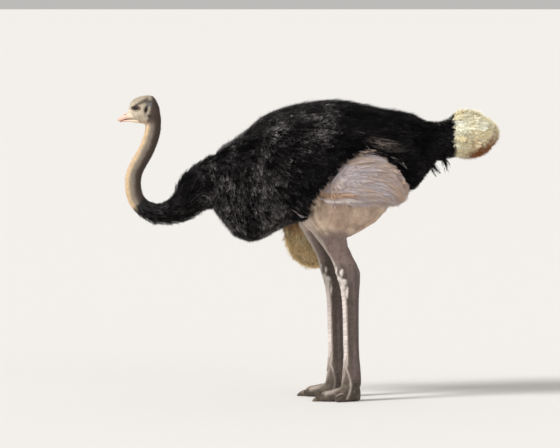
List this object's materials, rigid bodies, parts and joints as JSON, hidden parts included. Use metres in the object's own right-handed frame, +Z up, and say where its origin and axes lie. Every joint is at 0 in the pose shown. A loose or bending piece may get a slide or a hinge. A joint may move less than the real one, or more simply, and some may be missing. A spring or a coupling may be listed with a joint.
{
  "type": "male ostrich",
  "caption": "Life-size standing male ostrich with its neck held low in an S, one wing folded and the other drooping, black plumage, pale wing and tail plumes, bare thighs and two-toed feet.",
  "frame": {"origin": "on the floor, below the middle of the bird's length and breadth", "axes": "+Z up; the bird faces -X; its left side is towards -Y"},
  "size_m": [1.634, 0.525, 1.3056],
  "materials": {
    "black_plumage": "dull black, loose curly feathers with a soft grey sheen",
    "white_plumage": "matt cream white, loose plumes stained buff and brown at their ends",
    "neck_down": "grey-brown skin under sparse bristly down, paler at the front",
    "face": "bare wrinkled skin with pale down",
    "bare_skin": "bare pinkish beige skin with fine folds",
    "leg_scales": "grey-brown horny plates and fine scales",
    "horn": "pinkish horn, satin",
    "claw": "dark worn horn",
    "eye": "wet dark brown eye"
  },
  "bodies": {
    "root": {"trunk": "black_plumage", "neck_lower": "black_plumage", "tail_base": "black_plumage", "wing_left": "black_plumage", "wing_right": "black_plumage", "plumes_left": "white_plumage", "plumes_right": "white_plumage", "tail_plumes": "white_plumage", "neck_middle": "neck_down", "neck_upper": "neck_down", "head": "face", "bill_upper": "horn", "bill_lower": "horn", "eye_left": "eye", "eye_right": "eye", "thigh_left": "bare_skin", "thigh_right": "bare_skin", "shin_left": "bare_skin", "shin_right": "bare_skin", "shank_left": "leg_scales", "shank_right": "leg_scales", "toe_main_left": "leg_scales", "toe_main_right": "leg_scales", "toe_outer_left": "leg_scales", "toe_outer_right": "leg_scales", "claw_left": "claw", "claw_right": "claw"}
  },
  "joints": []
}
